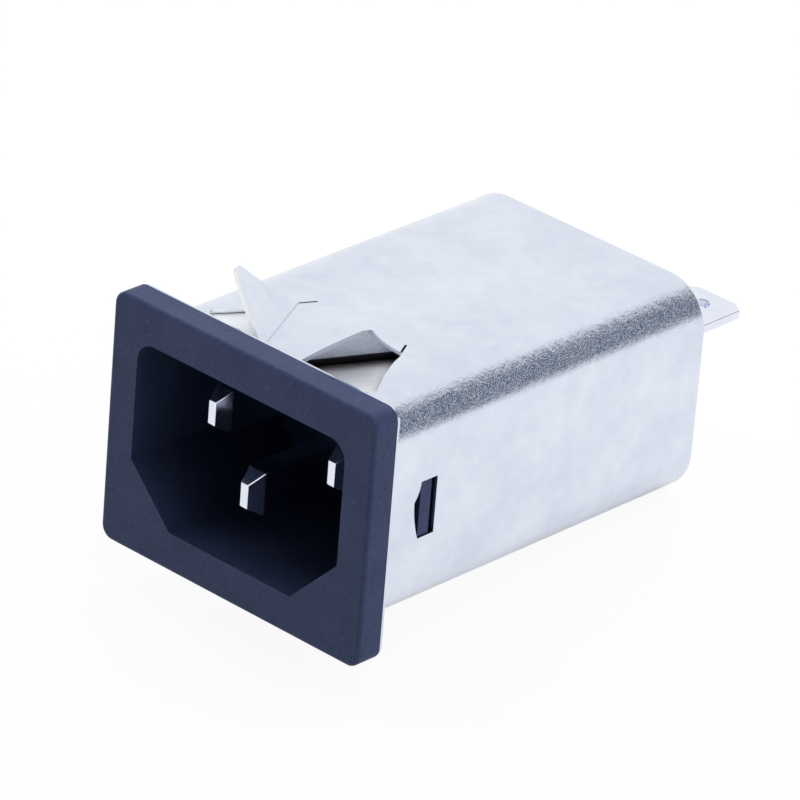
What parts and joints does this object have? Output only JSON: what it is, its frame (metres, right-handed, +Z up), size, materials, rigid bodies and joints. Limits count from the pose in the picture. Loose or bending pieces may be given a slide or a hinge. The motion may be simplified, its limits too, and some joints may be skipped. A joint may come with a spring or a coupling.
{
  "type": "power line filter",
  "caption": "Snap-in power line filter: moulded appliance inlet with a flange, tinned-steel can with lanced spring claws, push-on tabs at the rear, and a choke and capacitors inside.",
  "frame": {"origin": "centre of the flange's rear face, where the panel cut-out's middle lies", "axes": "+Y rearward through the panel, along the can; +X to the right seen from the front; +Z up, away from the earth blade"},
  "size_m": [0.0304, 0.0518, 0.0294],
  "materials": {
    "black_plastic": "moulded, fine matt grain",
    "plated_contact": "bright nickel plating on brass",
    "tinned_steel": "bright tinned sheet",
    "liner_sheet": "plain insulating film",
    "board_laminate": "bare laminate",
    "coated_ferrite": "epoxy coat on ferrite",
    "divider_sheet": "plain insulating board",
    "enamelled_copper": "clear enamel on copper",
    "film_case": "moulded case",
    "ceramic_coat": "dipped coat on ceramic",
    "resistor_coat": "lacquer coat"
  },
  "bodies": {
    "root": {"inlet_housing": "black_plastic", "line_blade": "plated_contact", "neutral_blade": "plated_contact", "earth_blade": "plated_contact", "can": "tinned_steel", "insulating_liner": "liner_sheet", "circuit_board": "board_laminate", "choke_core": "coated_ferrite", "choke_divider": "divider_sheet", "line_winding": "enamelled_copper", "neutral_winding": "enamelled_copper", "x_capacitor": "film_case", "line_y_capacitor": "ceramic_coat", "neutral_y_capacitor": "ceramic_coat", "bleed_resistor": "resistor_coat", "terminal_plate": "black_plastic", "line_tab": "plated_contact", "neutral_tab": "plated_contact", "earth_tab": "plated_contact", "earth_lug": "tinned_steel", "earth_rivet": "tinned_steel"}
  },
  "joints": []
}
